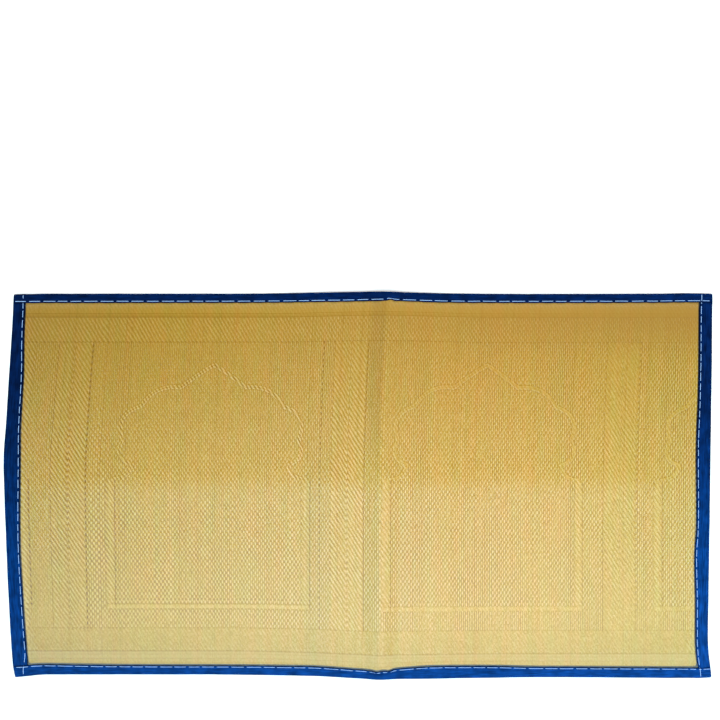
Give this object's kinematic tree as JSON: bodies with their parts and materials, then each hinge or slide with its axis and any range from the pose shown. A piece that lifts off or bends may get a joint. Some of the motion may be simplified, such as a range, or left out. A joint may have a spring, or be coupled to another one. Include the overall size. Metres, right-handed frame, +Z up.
{
  "type": "prayer mat",
  "caption": "Woven straw prayer mat with a repeated arched niche in its weave, bound with blue cotton tape and lying flat with a soft crease across its middle",
  "frame": {"origin": "middle of the underside of the overall box, on the surface that the mat lies on", "axes": "+X along the mat's long side, +Y along its short side towards the heads of the niches, +Z up"},
  "size_m": [1.2181, 0.6641, 0.0186],
  "materials": {
    "straw": "woven dyed rush straw, satin",
    "cotton_tape": "plain woven cotton tape, matte, with white cotton stitches"
  },
  "bodies": {
    "root": {"straw_panel": "straw", "binding_far": "cotton_tape", "binding_near": "cotton_tape", "binding_left": "cotton_tape", "binding_right": "cotton_tape"}
  },
  "joints": []
}
